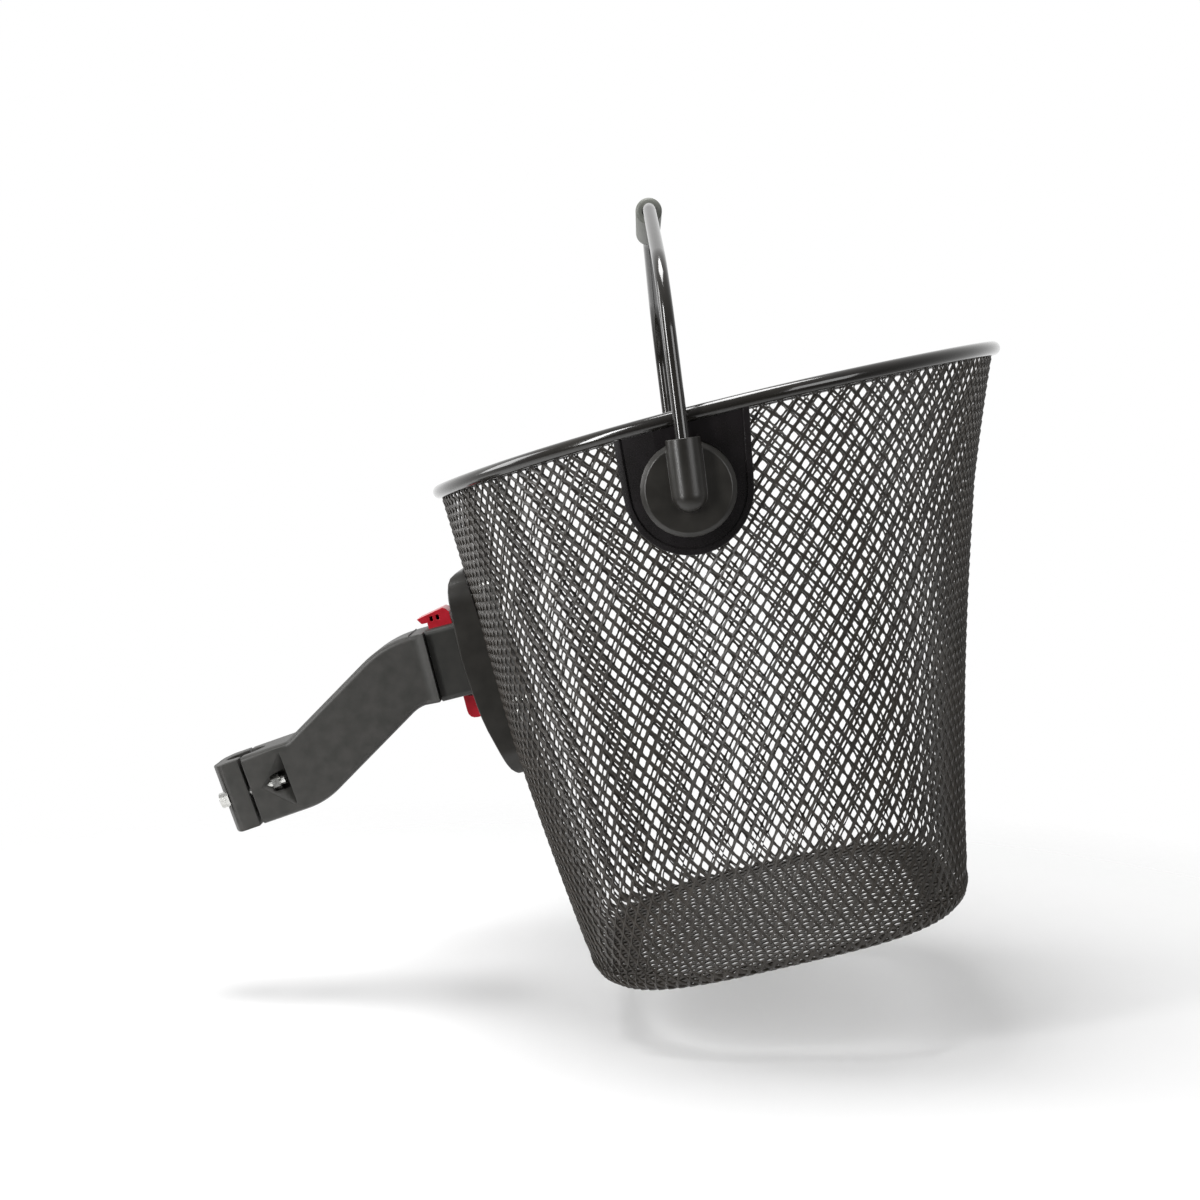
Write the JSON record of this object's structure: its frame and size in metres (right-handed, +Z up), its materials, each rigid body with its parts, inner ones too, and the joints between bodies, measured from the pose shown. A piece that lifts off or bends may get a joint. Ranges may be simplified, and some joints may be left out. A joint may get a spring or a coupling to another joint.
{
  "type": "handlebar basket",
  "caption": "Tapered oval wire-mesh basket with a swinging carry handle, hung by its rear bracket on a quick-release arm that clamps round a bicycle's stem.",
  "frame": {"origin": "centre of the stem clamp's bore, halfway up the clamp, on the object's middle plane", "axes": "+X forward, away from the rider; +Y to the rider's left; +Z up, with the bicycle level"},
  "size_m": [0.42, 0.3734, 0.4034],
  "materials": {
    "mesh_paint": "satin black powder coat on expanded metal",
    "gloss_paint": "gloss black paint on steel",
    "plate_gloss": "glossy black moulding",
    "grey_moulding": "dark grey satin moulding",
    "grip_sleeve": "dark grey-green soft sleeve",
    "arm_moulding": "dark grey glass-filled moulding",
    "head_moulding": "near-black satin moulding",
    "red_moulding": "red semi-gloss moulding",
    "zinc_steel": "zinc-plated steel",
    "spring_steel": "drawn spring wire"
  },
  "bodies": {
    "adapter": {"adapter_arm": "arm_moulding", "clamp_cap": "arm_moulding", "clamp_bolt_left": "zinc_steel", "clamp_bolt_right": "zinc_steel", "clamp_nut_left": "zinc_steel", "clamp_nut_right": "zinc_steel", "adapter_head": "head_moulding", "head_screw_left": "zinc_steel", "head_screw_right": "zinc_steel"},
    "release": {"release_button": "red_moulding", "latch_slider": "red_moulding", "release_spring": "spring_steel"},
    "basket": {"basket_wall": "mesh_paint", "basket_floor": "mesh_paint", "rim_tube": "gloss_paint", "side_plate_left": "plate_gloss", "side_plate_right": "plate_gloss", "pivot_washer_left": "zinc_steel", "pivot_washer_right": "zinc_steel", "pivot_screw_left": "zinc_steel", "pivot_screw_right": "zinc_steel", "rear_bracket": "grey_moulding", "bracket_back_plate": "grey_moulding", "bracket_screw_1": "zinc_steel", "bracket_screw_2": "zinc_steel", "bracket_screw_3": "zinc_steel", "bracket_screw_4": "zinc_steel"},
    "handle": {"handle_rod": "gloss_paint", "handle_grip": "grip_sleeve", "pivot_disc_left": "grey_moulding", "pivot_disc_right": "grey_moulding"}
  },
  "joints": [
    {"name": "button_press", "type": "slide", "parent": "adapter", "child": "release", "axis": [0.2504, 0, -0.9681], "range_m": [0, 0.003], "stiffness_N_per_m": 900, "springref_m": -0.002, "deforming": ["release_spring"]},
    {"name": "basket_lift", "type": "slide", "parent": "adapter", "child": "basket", "axis": [-0.2504, 0, 0.9681], "range_m": [0, 0.085]},
    {"name": "handle_swing", "type": "hinge", "parent": "basket", "child": "handle", "pos_m": [0.23116, 0, 0.16643], "axis": [0, 1, 0], "range_deg": [-82, 60]}
  ]
}
